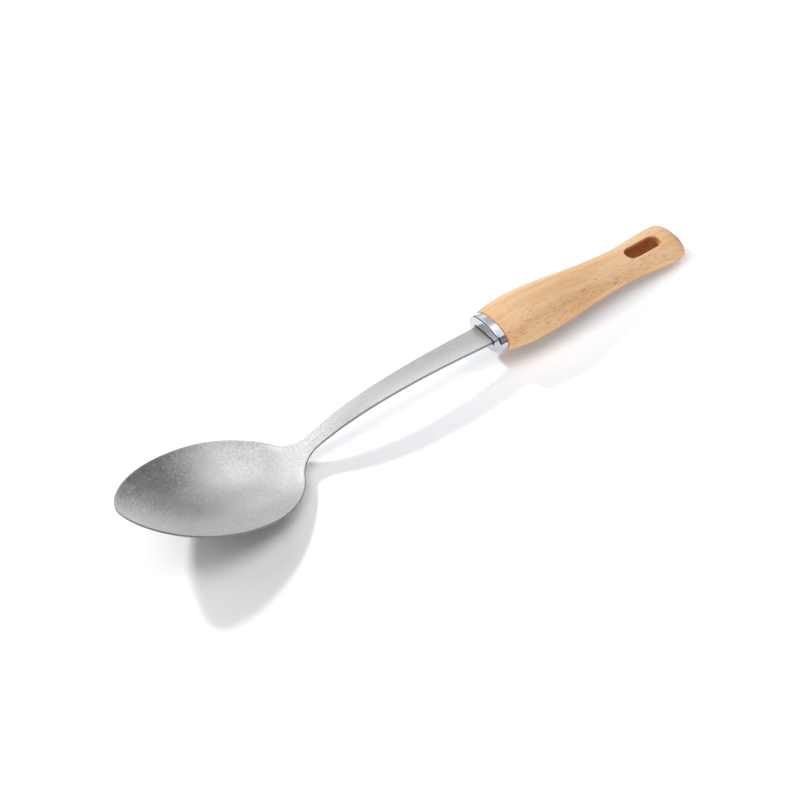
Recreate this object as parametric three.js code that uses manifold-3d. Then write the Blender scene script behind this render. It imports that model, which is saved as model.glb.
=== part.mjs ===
// Spoon-shaped sauce ladle: pressed steel blade, oval steel ferrule and shaped beech handle.
// Millimetres, Z up. It lies on a table at Z = 0, bowl towards -X, handle towards +X.
import * as THREE from 'three';
import { mergeVertices } from 'three/addons/utils/BufferGeometryUtils.js';
import Module from 'manifold-3d';

const wasm = await Module();
wasm.setup();

// Clearance between pieces that seat on each other
const fitGap = 0.3;

// Bowl and neck outline, seen from above
const bowlWidth = 60.3;
const bowlFrontLength = 52.7;
const bowlHeelLength = 40.8;
const tipSharpness = 1.23;
const heelSharpness = 1.01;
const neckFilletRadius = 15;
const shankNeckWidth = 7.9;
const shankFerruleWidth = 12.7;

// Blade, seen from the side: heights of its underside and slopes along X
const tipHeight = 33.2;
const tipSlope = -0.8;
const bellyOffset = 22.3;
const neckOffset = 1.2;
const neckHeight = 4.3;
const neckSlope = 0.475;
const crownOffset = 63.6;
const crownHeight = 15.2;
const shankLength = 106.9;

// Blade sheet
const sheetThickness = 1.8;
const edgeBreak = 0.4;
const dishDepth = 9;
const dishFadeLength = 40;
const restFlatDepth = 0.35;
const tangWidth = 7;
const tangLength = 52;

// Ferrule
const ferruleWidth = 24.1;
const ferruleHeight = 13.6;
const ferruleDepth = 4.2;
const ferruleWall = 0.9;
const ferruleFrontThickness = 1;
const ferruleEdgeRadius = 1.1;
const slotSideGap = 0.7;
const slotFaceGap = 0.45;

// Handle: its setbacks run along its own axis from the wood's front shoulder
const gripLength = 118.2;
const gripAxisHeight = 13.9;
const gripFrontWidth = 25;
const gripFrontHeight = 14.1;
const gripFrontSwell = 0.24;
const gripFrontRound = 0.8;
const bulgeWidth = 28.5;
const bulgeHeight = 18.5;
const bulgeSetback = 18.4;
const waistWidth = 20.8;
const waistHeight = 9.8;
const waistSetback = 79.5;
const flareWidth = 24.1;
const flareHeight = 11.8;
const gripEndRound = 7;
const gripSquareness = 2.2;
const endSquareness = 2.7;
const tableClearance = 0.12;

// Resin round the tang, and the hanging slot
const bondThickness = 1;
const hangSlotLength = 20.2;
const hangSlotWidth = 7.7;
const hangSlotEndMargin = 11.2;
const hangSlotRound = 0.6;

// Facets
const acrossSteps = 14;
const frontSteps = 14;
const heelSteps = 10;
const filletSteps = 7;
const shankSteps = 14;
const ovalSteps = 48;
const roundSteps = 4;
const gripSteps = 24;
const endSteps = 7;

// Working precision
const heelSamples = 400;
const filletHalvings = 30;
const slopeStep = 0.01;
const mergeDistance = 1e-4;

// The handle droops from the ferrule until its flared end meets the table
const flareAt = gripLength - gripEndRound;
const droop = Math.asin((gripAxisHeight - flareHeight / 2 - tableClearance) / flareAt);

// Places along X, with the middle of the whole length at 0
const bladeReach = bowlFrontLength + bowlHeelLength + neckOffset + shankLength;
const overallLength = bladeReach + gripLength * Math.cos(droop);
const tipX = -overallLength / 2;
const endX = overallLength / 2;
const widestX = tipX + bowlFrontLength;
const bellyX = widestX + bellyOffset;
const neckX = widestX + bowlHeelLength + neckOffset;
const ferruleX = neckX + shankLength;

// Places along the handle's axis, from the ferrule's front face
const halfSheet = sheetThickness / 2;
const shoulderAt = ferruleDepth + fitGap;
const tenonEndAt = ferruleFrontThickness + fitGap;
const tangEndAt = ferruleFrontThickness + tangLength;
const sleeveInset = fitGap + bondThickness;

// Smooth curve through points that each give a place, a value and a slope
function curveThrough(points, at) {
  let last = 1;
  while (last < points.length - 1 && at > points[last].at) {
    last += 1;
  }
  const a = points[last - 1];
  const b = points[last];
  const span = b.at - a.at;
  const t = (at - a.at) / span;
  const rise = t * t * (3 - 2 * t);
  const leave = t * (1 - t) * (1 - t) * span;
  const arrive = t * t * (t - 1) * span;
  return a.value + (b.value - a.value) * rise + a.slope * leave + b.slope * arrive;
}

// Side view of the blade: the middle line of its underside
const ferruleUnderside = gripAxisHeight - halfSheet / Math.cos(droop);
const keelPoints = [
  { at: tipX, value: tipHeight, slope: tipSlope },
  { at: bellyX, value: -restFlatDepth, slope: 0 },
  { at: neckX, value: neckHeight, slope: neckSlope },
  { at: neckX + crownOffset, value: crownHeight, slope: 0 },
  { at: ferruleX, value: ferruleUnderside, slope: -Math.tan(droop) },
];

function keelHeight(x) {
  if (x > ferruleX) {
    return ferruleUnderside - (x - ferruleX) * Math.tan(droop);
  }
  return curveThrough(keelPoints, x);
}

// Half the shank's width, a straight taper from the neck to the ferrule
function shankHalfWidth(x) {
  const along = (x - neckX) / shankLength;
  return THREE.MathUtils.lerp(shankNeckWidth, shankFerruleWidth, along) / 2;
}

// Right-hand side of the bowl's heel, a quarter turn from its widest place to its middle
function heel(turn) {
  const half = bowlWidth / 2 * Math.max(Math.cos(turn), 0) ** heelSharpness;
  return new THREE.Vector2(widestX + bowlHeelLength * Math.sin(turn), half);
}

// Fillet between the oval heel and the shank: a circle that touches both
function neckFillet() {
  const nearestTurn = (centre) => {
    let best = 0;
    for (let i = 0; i <= heelSamples; i += 1) {
      const turn = i / heelSamples * Math.PI / 2;
      if (heel(turn).distanceTo(centre) < heel(best).distanceTo(centre)) {
        best = turn;
      }
    }
    return best;
  };
  const centre = new THREE.Vector2();
  let low = widestX;
  let high = widestX + bowlHeelLength + neckFilletRadius;
  for (let i = 0; i < filletHalvings; i += 1) {
    const x = (low + high) / 2;
    centre.set(x, shankHalfWidth(x) + neckFilletRadius);
    if (heel(nearestTurn(centre)).distanceTo(centre) < neckFilletRadius) {
      low = x;
    } else {
      high = x;
    }
  }
  const turn = nearestTurn(centre);
  return { centre, turn, touch: heel(turn) };
}

const fillet = neckFillet();

// Right-hand outline of the blade from the tip to its shoulder at the ferrule
function bladeOutline() {
  const points = [];
  for (let i = 0; i < frontSteps; i += 1) {
    const turn = i / frontSteps * Math.PI / 2;
    const half = bowlWidth / 2 * Math.sin(turn) ** tipSharpness;
    points.push(new THREE.Vector2(widestX - bowlFrontLength * Math.cos(turn), half));
  }
  for (let i = 0; i < heelSteps; i += 1) {
    points.push(heel(i / heelSteps * fillet.turn));
  }
  const from = Math.atan2(fillet.touch.y - fillet.centre.y, fillet.touch.x - fillet.centre.x);
  for (let i = 0; i < filletSteps; i += 1) {
    const turn = THREE.MathUtils.lerp(from + 2 * Math.PI, 1.5 * Math.PI, i / filletSteps);
    const spoke = new THREE.Vector2(Math.cos(turn), Math.sin(turn));
    points.push(spoke.multiplyScalar(neckFilletRadius).add(fillet.centre));
  }
  const shoulderX = ferruleX + ferruleFrontThickness * Math.cos(droop);
  for (let i = 0; i <= shankSteps; i += 1) {
    const x = THREE.MathUtils.lerp(fillet.centre.x, shoulderX, i / shankSteps);
    points.push(new THREE.Vector2(x, shankHalfWidth(x)));
  }
  return points;
}

// Height of the blade's underside: dished across in the bowl, fading to flat along the shank
const dishRadius = ((bowlWidth / 2) ** 2 + dishDepth ** 2) / (2 * dishDepth);

function undersideHeight(x, y) {
  const fade = 1 - THREE.MathUtils.smoothstep(x, fillet.touch.x, fillet.touch.x + dishFadeLength);
  const bend = fade / dishRadius;
  return keelHeight(x) + y * y * bend / (1 + Math.sqrt(1 - (bend * y) ** 2));
}

// A point of the sheet, a given depth up through its thickness
function sheetPoint(x, y, depth) {
  const step = slopeStep;
  const riseX = undersideHeight(x + step, y) - undersideHeight(x - step, y);
  const riseY = undersideHeight(x, y + step) - undersideHeight(x, y - step);
  const normal = new THREE.Vector3(-riseX, -riseY, 2 * step).normalize();
  return new THREE.Vector3(x, y, undersideHeight(x, y)).addScaledVector(normal, depth);
}

// One ring round the sheet: underside, broken right edge, top, broken left edge
function sheetRing(edge, inner) {
  const ring = [];
  for (let i = 0; i <= acrossSteps; i += 1) {
    ring.push(sheetPoint(inner.x, inner.y * (2 * i / acrossSteps - 1), 0));
  }
  ring.push(sheetPoint(edge.x, edge.y, edgeBreak));
  ring.push(sheetPoint(edge.x, edge.y, sheetThickness - edgeBreak));
  for (let i = acrossSteps; i >= 0; i -= 1) {
    ring.push(sheetPoint(inner.x, inner.y * (2 * i / acrossSteps - 1), sheetThickness));
  }
  ring.push(sheetPoint(edge.x, -edge.y, sheetThickness - edgeBreak));
  ring.push(sheetPoint(edge.x, -edge.y, edgeBreak));
  return ring;
}

// Closed body through a row of rings that have the same number of points
function loft(rings) {
  const corners = [];
  const middle = (ring) => ring.reduce((sum, point) => sum.add(point), new THREE.Vector3())
    .divideScalar(ring.length);
  const first = rings[0];
  const last = rings[rings.length - 1];
  for (let i = 0; i < first.length; i += 1) {
    const next = (i + 1) % first.length;
    corners.push(middle(first), first[next], first[i]);
    corners.push(middle(last), last[i], last[next]);
    for (let r = 0; r + 1 < rings.length; r += 1) {
      corners.push(rings[r][i], rings[r][next], rings[r + 1][next]);
      corners.push(rings[r][i], rings[r + 1][next], rings[r + 1][i]);
    }
  }
  return new THREE.BufferGeometry().setFromPoints(corners);
}

// Body for cutting and joining, made from a geometry
function solidFrom(geometry) {
  const bare = geometry.clone();
  bare.deleteAttribute('normal');
  bare.deleteAttribute('uv');
  const merged = mergeVertices(bare, mergeDistance);
  const place = merged.attributes.position;
  const corner = (i) => new THREE.Vector3().fromBufferAttribute(place, i);
  const faces = [];
  let volume = 0;
  for (let i = 0; i < merged.index.count; i += 3) {
    const [a, b, c] = [0, 1, 2].map((k) => merged.index.getX(i + k));
    if (a !== b && b !== c && c !== a) {
      faces.push([a, b, c]);
      volume += corner(a).dot(corner(b).cross(corner(c)));
    }
  }
  const outward = volume > 0 ? faces : faces.map(([a, b, c]) => [a, c, b]);
  const mesh = new wasm.Mesh({
    numProp: 3,
    vertProperties: new Float32Array(place.array),
    triVerts: new Uint32Array(outward.flat()),
  });
  return new wasm.Manifold(mesh);
}

function meshFrom(solid, name, material) {
  const { vertProperties, triVerts } = solid.getMesh();
  const geometry = new THREE.BufferGeometry();
  geometry.setAttribute('position', new THREE.BufferAttribute(vertProperties, 3));
  geometry.setIndex(new THREE.BufferAttribute(triVerts, 1));
  geometry.computeVertexNormals();
  const mesh = new THREE.Mesh(geometry, material);
  mesh.name = name;
  return mesh;
}

// Box between two corners
function boxBetween(low, high) {
  const box = new THREE.Box3(new THREE.Vector3(...low), new THREE.Vector3(...high));
  const size = box.getSize(new THREE.Vector3());
  const centre = box.getCenter(new THREE.Vector3());
  return solidFrom(new THREE.BoxGeometry(...size).translate(...centre));
}

// Oval ring across the handle's axis
function ovalRing(along, halfWidth, halfHeight) {
  const ring = [];
  for (let i = 0; i < ovalSteps; i += 1) {
    const turn = i / ovalSteps * 2 * Math.PI;
    const wide = Math.sign(Math.cos(turn)) * Math.abs(Math.cos(turn)) ** (2 / gripSquareness);
    const tall = Math.sign(Math.sin(turn)) * Math.abs(Math.sin(turn)) ** (2 / gripSquareness);
    ring.push(new THREE.Vector3(along, halfWidth * wide, halfHeight * tall));
  }
  return ring;
}

// Bar along the handle's axis with a flat oval section, round at both sides
function flatBar(from, to, halfWidth, halfHeight) {
  const shape = new THREE.Shape();
  const reach = halfWidth - halfHeight;
  shape.absarc(0, reach, halfHeight, 0, Math.PI, false);
  shape.absarc(0, -reach, halfHeight, Math.PI, 2 * Math.PI, false);
  const bar = new THREE.ExtrudeGeometry(shape, {
    depth: to - from,
    bevelEnabled: false,
    curveSegments: 2 * roundSteps,
  });
  return solidFrom(bar.rotateY(Math.PI / 2).translate(from, 0, 0));
}

// Bowl, neck, shank and tang in one strip of steel
function spoonBlade() {
  const outline = bladeOutline();
  const rings = outline.map((edge, i) => {
    const before = i > 0 ? outline[i - 1] : new THREE.Vector2(outline[1].x, -outline[1].y);
    const after = outline[Math.min(i + 1, outline.length - 1)];
    const along = after.clone().sub(before).normalize();
    const inner = new THREE.Vector2(along.y, -along.x).multiplyScalar(edgeBreak).add(edge);
    return sheetRing(edge, new THREE.Vector2(inner.x, Math.max(inner.y, 0)));
  });
  const shoulderX = outline[outline.length - 1].x;
  const tangEndX = ferruleX + tangEndAt * Math.cos(droop);
  for (const x of [shoulderX, tangEndX]) {
    const edge = new THREE.Vector2(x, tangWidth / 2);
    rings.push(sheetRing(edge, new THREE.Vector2(x, tangWidth / 2 - edgeBreak)));
  }
  const below = boxBetween([tipX, -bowlWidth, -bowlWidth], [endX, bowlWidth, 0]);
  return solidFrom(loft(rings)).subtract(below);
}

// Drawn oval cap with a rounded front edge and a slot for the shank
function ferrule() {
  const halfWidth = ferruleWidth / 2;
  const halfHeight = ferruleHeight / 2;
  const rings = [];
  for (let i = 0; i <= roundSteps; i += 1) {
    const turn = i / roundSteps * Math.PI / 2;
    const inset = ferruleEdgeRadius * (1 - Math.sin(turn));
    const along = ferruleEdgeRadius * (1 - Math.cos(turn));
    rings.push(ovalRing(along, halfWidth - inset, halfHeight - inset));
  }
  rings.push(ovalRing(ferruleDepth, halfWidth, halfHeight));
  const cavity = solidFrom(loft([ferruleFrontThickness, 2 * ferruleDepth].map(
    (along) => ovalRing(along, halfWidth - ferruleWall, halfHeight - ferruleWall),
  )));
  const slotHalfWidth = shankFerruleWidth / 2 + slotSideGap;
  const slotHalfHeight = halfSheet + slotFaceGap;
  const slot = boxBetween(
    [-ferruleDepth, -slotHalfWidth, -slotHalfHeight],
    [ferruleDepth, slotHalfWidth, slotHalfHeight],
  );
  return solidFrom(loft(rings)).subtract(cavity).subtract(slot);
}

// The handle's outlines from above and from the side, along its axis
function gripOutline(front, bulge, waist, flare) {
  return [
    { at: shoulderAt, value: front / 2, slope: gripFrontSwell * front / gripFrontWidth },
    { at: shoulderAt + bulgeSetback, value: bulge / 2, slope: 0 },
    { at: shoulderAt + waistSetback, value: waist / 2, slope: 0 },
    { at: flareAt, value: flare / 2, slope: 0 },
  ];
}

const widthPoints = gripOutline(gripFrontWidth, bulgeWidth, waistWidth, flareWidth);
const heightPoints = gripOutline(gripFrontHeight, bulgeHeight, waistHeight, flareHeight);

// Cutter for the hanging slot: a long hole that opens out where it meets each face
function hangSlot() {
  const halfLength = hangSlotLength / 2;
  const radius = hangSlotWidth / 2;
  const centre = gripLength - hangSlotEndMargin - halfLength;
  const faceHeight = curveThrough(heightPoints, centre);
  const ring = (height, grow) => {
    const outline = [];
    for (let i = 0; i < ovalSteps; i += 1) {
      const turn = (i + 0.5) / ovalSteps * 2 * Math.PI;
      const side = Math.sign(Math.cos(turn)) * (halfLength - radius);
      const x = centre + side + (radius + grow) * Math.cos(turn);
      outline.push(new THREE.Vector3(x, (radius + grow) * Math.sin(turn), height));
    }
    return outline;
  };
  const rings = [];
  for (const face of [-1, 1]) {
    const lip = [ring(face * (faceHeight + hangSlotRound), hangSlotRound)];
    for (let i = 0; i <= roundSteps; i += 1) {
      const turn = i / roundSteps * Math.PI / 2;
      const height = faceHeight - hangSlotRound * (1 - Math.cos(turn));
      lip.push(ring(face * height, hangSlotRound * (1 - Math.sin(turn))));
    }
    rings.push(...(face < 0 ? lip : lip.reverse()));
  }
  return solidFrom(loft(rings));
}

// Beech grip: tenon, rounded front, swelling, waist, flared rounded end
function beechHandle() {
  const rings = [];
  const addRing = (along, inset) => {
    const halfWidth = curveThrough(widthPoints, along) - inset;
    const halfHeight = curveThrough(heightPoints, along) - inset;
    rings.push(ovalRing(along, halfWidth, halfHeight));
  };
  const tenonInset = ferruleWall + fitGap;
  for (const along of [tenonEndAt, shoulderAt]) {
    rings.push(ovalRing(along, ferruleWidth / 2 - tenonInset, ferruleHeight / 2 - tenonInset));
  }
  for (let i = 0; i < roundSteps; i += 1) {
    const turn = i / roundSteps * Math.PI / 2;
    const along = shoulderAt + gripFrontRound * (1 - Math.cos(turn));
    addRing(along, gripFrontRound * (1 - Math.sin(turn)));
  }
  const fullAt = shoulderAt + gripFrontRound;
  for (let i = 0; i < gripSteps; i += 1) {
    const along = THREE.MathUtils.lerp(fullAt, flareAt, i / gripSteps);
    addRing(along, 0);
  }
  for (let i = 0; i <= endSteps; i += 1) {
    const reach = Math.sin(i / endSteps * Math.PI / 2);
    const shrink = Math.max(1 - reach ** endSquareness, 0) ** (1 / endSquareness);
    const along = flareAt + gripEndRound * reach;
    rings.push(ovalRing(along, flareWidth / 2 * shrink, flareHeight / 2 * shrink));
  }
  const mortise = flatBar(
    0,
    tangEndAt + sleeveInset + fitGap,
    tangWidth / 2 + sleeveInset + fitGap,
    halfSheet + sleeveInset + fitGap,
  );
  return solidFrom(loft(rings)).subtract(mortise).subtract(hangSlot());
}

// Cured resin round the tang, closed behind its end
function tangBond() {
  const sleeve = flatBar(
    tenonEndAt,
    tangEndAt + sleeveInset,
    tangWidth / 2 + sleeveInset,
    halfSheet + sleeveInset,
  );
  const room = boxBetween(
    [0, -tangWidth / 2 - fitGap, -halfSheet - fitGap],
    [tangEndAt + fitGap, tangWidth / 2 + fitGap, halfSheet + fitGap],
  );
  return sleeve.subtract(room);
}

const tumbledSteel = new THREE.MeshStandardMaterial({
  color: '#b4b6b3',
  roughness: 0.45,
  metalness: 1,
});
const polishedSteel = new THREE.MeshStandardMaterial({
  color: '#d3d7da',
  roughness: 0.12,
  metalness: 1,
});
const oiledBeech = new THREE.MeshStandardMaterial({ color: '#e2b987', roughness: 0.55, metalness: 0 });
const curedResin = new THREE.MeshStandardMaterial({ color: '#cdbb8a', roughness: 0.4, metalness: 0 });

// The handle's pieces share its drooping axis, which starts at the ferrule's front face
const grip = new THREE.Group();
grip.position.set(ferruleX, 0, gripAxisHeight);
grip.rotation.y = droop;
grip.add(meshFrom(ferrule(), 'ferrule', polishedSteel));
grip.add(meshFrom(beechHandle(), 'beech_handle', oiledBeech));
grip.add(meshFrom(tangBond(), 'tang_bond', curedResin));

const ladle = new THREE.Group();
ladle.add(meshFrom(spoonBlade(), 'spoon_blade', tumbledSteel));
ladle.add(grip);

export default ladle;
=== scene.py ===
# Spoon-shaped sauce ladle: tumbled steel blade, polished ferrule and oiled beech handle.
import math

import bmesh
import bpy
from bpy.props import FloatProperty, FloatVectorProperty, PointerProperty
from mathutils import Matrix, Vector
from mathutils.kdtree import KDTree


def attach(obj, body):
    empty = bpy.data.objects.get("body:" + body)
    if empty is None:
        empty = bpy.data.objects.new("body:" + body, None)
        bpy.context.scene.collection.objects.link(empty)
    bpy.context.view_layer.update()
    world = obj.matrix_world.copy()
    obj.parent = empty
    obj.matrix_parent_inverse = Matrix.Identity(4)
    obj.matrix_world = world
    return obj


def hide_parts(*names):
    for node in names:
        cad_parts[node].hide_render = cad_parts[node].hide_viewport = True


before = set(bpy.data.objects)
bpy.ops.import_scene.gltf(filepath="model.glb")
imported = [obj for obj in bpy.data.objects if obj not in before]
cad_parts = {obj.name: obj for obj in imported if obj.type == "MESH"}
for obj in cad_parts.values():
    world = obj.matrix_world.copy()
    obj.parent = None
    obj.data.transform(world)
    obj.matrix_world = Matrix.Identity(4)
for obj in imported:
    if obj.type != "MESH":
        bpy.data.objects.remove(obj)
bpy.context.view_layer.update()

bl_info = {
    "name": "Sauce Ladle",
    "version": (1, 0, 0),
    "blender": (4, 5, 0),
    "location": "3D View > Sidebar > Ladle",
    "description": "Builds a spoon-shaped sauce ladle over its packed frame, on a white studio floor",
    "category": "Add Mesh",
}

MM = 0.001

# Facets of the smooth pieces
ACROSS_STEPS = 36
FRONT_STEPS = 44
HEEL_STEPS = 30
FILLET_STEPS = 16
SHANK_STEPS = 48
RIM_STEPS = 4
OVAL_STEPS = 96
GRIP_STEPS = 110
END_STEPS = 16
ROUND_STEPS = 6
SLOT_STEPS = 64

# Working precision
HEEL_SAMPLES = 400
FILLET_HALVINGS = 30
SLOPE_STEP = 0.01 * MM
MERGE_DISTANCE = 0.001 * MM
SHARP_ANGLE = math.radians(34)

# How far the lips of the hanging slot round over
LIP_TURN = math.radians(75)

# Colour sockets of a Mix node
MIX_A = 6
MIX_B = 7
MIX_RESULT = 2

# Dents of the tumbled steel: their size, and how far most of them and the few deep ones lean
DENT_SIZE = 0.34 * MM
DENT_LEAN = 0.13
DEEP_LEAN = 0.6

# A dent's chance values lie this far to both sides of nought, and its third one makes it a deep dent
# from the first of these limits on, fully so at the second
EVEN_CHANCE = 0.5
DEEP_FROM = 0.455
DEEP_FULL = 0.465

# Places along the shank between which the dents soften, and the share of them that is left
GLIDE_START = -55 * MM
GLIDE_END = -20 * MM
GLIDE_SHARE = 0.35

# Sizes of the other patterns in the finishes. Those along the handle have a length and a width.
PATCH_SIZE = 8 * MM
SCRATCH_SIZE = 0.5 * MM
BUBBLE_SIZE = 0.5 * MM
WHEEL_LINE = (0.4 * MM, 7 * MM)
GROWTH_BAND = (70 * MM, 3.2 * MM)
FLECK = (5 * MM, 0.32 * MM)
FLECK_GROUP = (30 * MM, 8 * MM)
FLECK_DEPTH = 0.06 * MM
RIDGE_DEPTH = 0.1 * MM

# Places across the handle where beech's flecks start to fade and where they are faintest
FLECK_FULL_Y = -10 * MM
FLECK_FAINT_Y = 6 * MM

# Far soft lamps: height over the floor, turn from the ladle's length towards its left side and width
# in the sky, all in degrees, strength, and whether dull surfaces and metal see them
FAR_LAMPS = {
    "overhead on the handle's side": (60, 8, 46, 0.9, True, False),
    "card overhead": (62, 2, 50, 0.68, False, True),
    "overhead on the bowl's side": (62, 168, 45, 1, True, True),
    "low lamp in front": (7, 250, 14, 1.85, True, False),
    "card behind, low part": (8, 67, 46, 0.36, False, True),
    "card behind, middle part": (36, 41, 47, 0.33, False, True),
    "card behind, high part": (62, 86, 44, 0.27, False, True),
    "card behind, left part": (38, 92, 40, 0.35, False, True),
    "card in front": (30, -62, 36, 0.1, False, True),
}


def linear(code):
    """Linear red, green and blue of an sRGB hex colour"""
    channels = [int(code[i:i + 2], 16) / 255 for i in (1, 3, 5)]
    return [c / 12.92 if c <= 0.04045 else ((c + 0.055) / 1.055) ** 2.4 for c in channels]


def length(name, words, millimetres):
    """A length property, written in millimetres and kept in metres"""
    return FloatProperty(
        name=name, description=words, default=millimetres * MM, subtype="DISTANCE", unit="LENGTH",
    )


def angle(name, words, degrees):
    """An angle property, written in degrees and kept in radians"""
    return FloatProperty(
        name=name, description=words, default=math.radians(degrees), subtype="ANGLE", unit="ROTATION",
    )


def number(name, words, value):
    """A plain number property"""
    return FloatProperty(name=name, description=words, default=value, precision=3)


def colour(name, words, code):
    """A colour property, written as an sRGB hex value and kept linear, with an alpha of 1"""
    return FloatVectorProperty(
        name=name, description=words, default=(*linear(code), 1),
        subtype="COLOR", size=4, min=0, max=1,
    )


class BladeSizes(bpy.types.PropertyGroup):
    """Sizes of the pressed steel blade"""

    bowl_width: length("Bowl width", "Widest place of the bowl, seen from above", 60.3)
    bowl_front: length("Bowl front", "From the tip to the widest place", 52.7)
    bowl_heel: length("Bowl heel", "From the widest place to the end of the bowl's oval", 40.8)
    tip_sharpness: number("Tip sharpness", "Above 1 draws the front of the outline to a point", 1.23)
    heel_sharpness: number("Heel sharpness", "Below 1 fills out the heel of the outline", 1.01)
    neck_fillet: length("Neck fillet", "Radius between the bowl's heel and the shank", 15)
    neck_width: length("Neck width", "Width of the shank at the neck", 7.9)
    shank_width: length("Shank width", "Width of the shank at the ferrule", 12.7)
    shank_length: length("Shank length", "From the neck to the ferrule's front face", 106.9)
    tip_height: length("Tip height", "Height of the tip's underside over the table", 33.2)
    tip_slope: number("Tip slope", "Slope of the keel at the tip", -0.8)
    belly_offset: length("Belly offset", "From the widest place to the lowest", 22.3)
    neck_offset: length("Neck offset", "From the end of the bowl's oval to the neck", 1.2)
    neck_height: length("Neck height", "Height of the neck's underside", 4.3)
    neck_slope: number("Neck slope", "Slope of the keel at the neck", 0.475)
    crown_offset: length("Crown offset", "From the neck to the top of the arched shank", 63.6)
    crown_height: length("Crown height", "Height of the arched shank's underside", 15.2)
    thickness: length("Sheet thickness", "Thickness of the steel", 1.8)
    rim_thickness: length("Rim thickness", "Thickness that is left at the bowl's ground rim", 1.1)
    rim_band: length("Rim band", "Width over which the sheet thins towards the rim", 8)
    rim_round: length("Rim round", "Radius that tumbling leaves on every edge", 0.5)
    dish_depth: length("Dish depth", "Depth of the bowl across its widest place", 9)
    dish_fade: length("Dish fade", "Length over which the dish runs out along the shank", 40)
    shank_camber: length("Shank camber", "Rise of the shank's middle over its edges", 0.3)
    rest_flat: length("Rest flat", "Depth of the small flat under the bowl", 0.35)
    tang_width: length("Tang width", "Width of the strip inside the handle", 7)
    tang_length: length("Tang length", "Length of the strip inside the handle", 52)


class FerruleSizes(bpy.types.PropertyGroup):
    """Sizes of the drawn oval cap at the front of the handle"""

    width: length("Width", "Across the oval", 24.1)
    height: length("Height", "Through the oval", 13.6)
    depth: length("Depth", "Along the handle", 4.2)
    wall: length("Wall", "Thickness of the band", 0.9)
    front: length("Front", "Thickness of the front face", 1)
    edge_round: length("Edge round", "Radius between the front face and the band", 1.1)
    slot_side_gap: length("Slot side gap", "Room at each end of the shank's slot", 0.7)
    slot_face_gap: length("Slot face gap", "Room over and under the shank in its slot", 0.45)


class HandleSizes(bpy.types.PropertyGroup):
    """Sizes of the beech handle, along its own axis from the ferrule's front face"""

    length: length("Length", "From the ferrule's front face to the end", 118.2)
    axis_height: length("Axis height", "Height of the axis at the ferrule's front face", 13.9)
    fit_gap: length("Fit gap", "Clearance between pieces that seat on each other", 0.3)
    front_width: length("Front width", "Width at the shoulder behind the ferrule", 25)
    front_height: length("Front height", "Height at the shoulder behind the ferrule", 14.1)
    front_swell: number("Front swell", "Slope of the outline at the shoulder", 0.24)
    front_round: length("Front round", "Radius of the shoulder's edge", 0.8)
    bulge_width: length("Bulge width", "Widest place of the grip", 28.5)
    bulge_height: length("Bulge height", "Thickest place of the grip", 18.5)
    bulge_setback: length("Bulge setback", "From the shoulder to the bulge", 18.4)
    waist_width: length("Waist width", "Narrowest place of the grip", 20.8)
    waist_height: length("Waist height", "Height at the waist", 9.8)
    waist_setback: length("Waist setback", "From the shoulder to the waist", 79.5)
    flare_width: length("Flare width", "Width of the flared end", 24.1)
    flare_height: length("Flare height", "Height of the flared end", 11.8)
    end_round: length("End round", "Length of the rounded end", 7)
    end_inset: length("End inset", "How far the smooth end stays inside the packed one", 0.06)
    squareness: number("Squareness", "2 is a true oval section, more is squarer", 2.2)
    end_squareness: number("End squareness", "The same for the rounded end", 2.7)
    table_clearance: length("Table clearance", "Under the flared end", 0.12)
    bond: length("Bond", "Thickness of the resin round the tang", 1)
    slot_length: length("Slot length", "Length of the hanging slot", 20.2)
    slot_width: length("Slot width", "Width of the hanging slot", 7.7)
    slot_margin: length("Slot margin", "From the slot to the end of the handle", 11.2)
    slot_round: length("Slot round", "Radius of the slot's upper lip", 0.3)
    slot_under_round: length("Slot under round", "Radius of the slot's lower lip", 0.2)


class LadleColours(bpy.types.PropertyGroup):
    """Colours of the ladle and of the studio"""

    steel: colour("Tumbled steel", "Grey of the blade's brightest dents", "#d7d8d6")
    steel_dull: colour("Dull dents", "Grey of the blade's dullest dents", "#b3b4b2")
    # The edge's darker grey is partly the ground steel and partly painted shade on the unlit edge of
    # the sheet
    edge: colour("Ground edge", "Duller edge of the sheet", "#a2a3a2")
    polished: colour("Polished steel", "Bright steel of the ferrule", "#cacbd1")
    beech: colour("Beech", "Ground colour of the wood", "#e3bf96")
    beech_dark: colour("Beech growth line", "Slightly darker wood between the light bands", "#dcac7c")
    pore: colour("Beech fleck", "Short dark flecks along the grain", "#ba7e48")
    # The cut wood is darker partly from the oil it drinks and partly as painted shade in the slot and
    # behind the ferrule
    cut_and_shaded_beech: colour("Cut beech", "Cut and rubbed wood inside the hanging slot", "#d89a68")
    shaded_cut_grain: colour("Cut beech grain", "Darker grain of the cut wood", "#b57448")
    resin: colour("Resin", "Cured resin round the tang", "#cdbb8a")
    resin_cloud: colour("Resin cloud", "Cloudy places in the resin", "#bfa873")
    floor: colour("Floor", "White studio floor", "#f6f7f9")
    # The floor's glow is painted light, seen by the eye and the metal only: it keeps the floor white
    # and lifts shadows more the farther they fall from the bowl
    glow: colour("Floor glow", "Light from beneath the floor", "#f9faff")
    # Colour of the glow in the painted shadow under the handle, cooled against the wood's warm light
    screen: colour("Screened glow", "The same through the cool screen under the handle", "#c8e8ff")


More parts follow.
